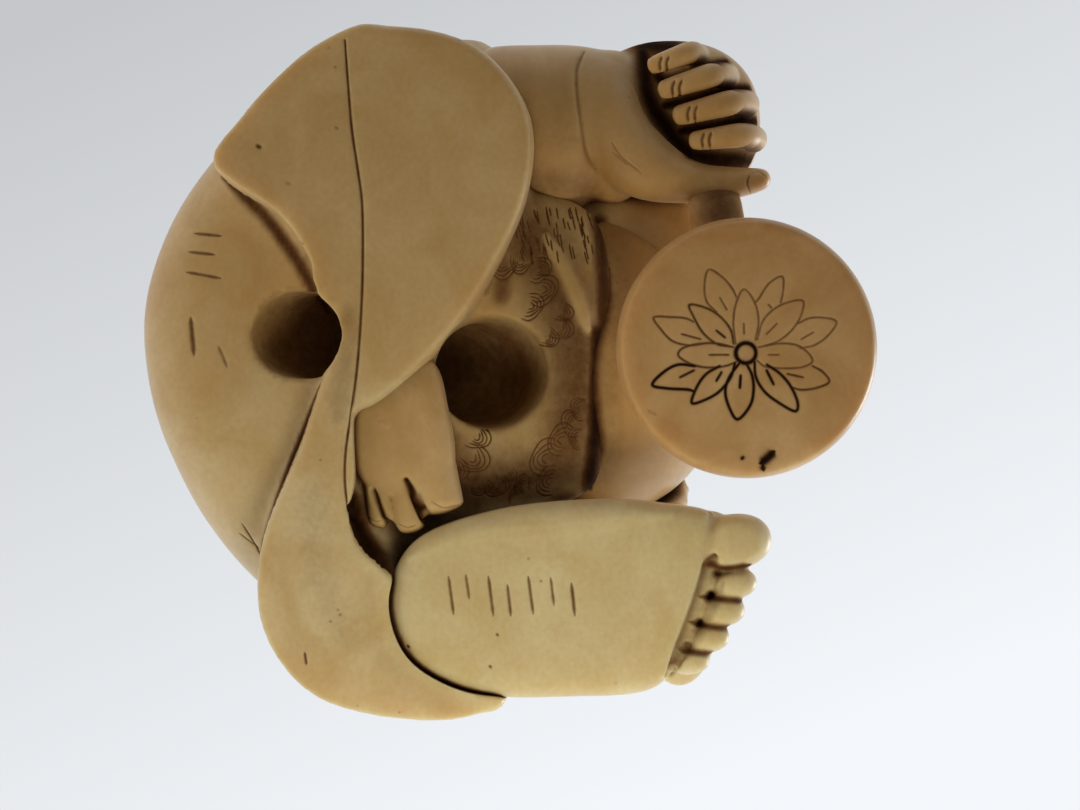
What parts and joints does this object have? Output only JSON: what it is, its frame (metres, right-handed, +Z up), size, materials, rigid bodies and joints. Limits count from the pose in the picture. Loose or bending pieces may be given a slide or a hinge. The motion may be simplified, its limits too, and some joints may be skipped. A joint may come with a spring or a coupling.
{
  "type": "carved netsuke",
  "caption": "Small seated robed figure carved in one piece, holding a round fan flat on the ground, with cord holes under the seat.",
  "frame": {"origin": "centre of the underside's bounding rectangle, on the surface the carving sits on", "axes": "+Z up, -Y towards the figure's front, +X towards the figure's left"},
  "size_m": [0.0408, 0.0434, 0.0397],
  "materials": {
    "ivory": "hand-polished, with brown stain left in the cuts"
  },
  "bodies": {
    "root": {"seated_figure": "ivory"}
  },
  "joints": []
}
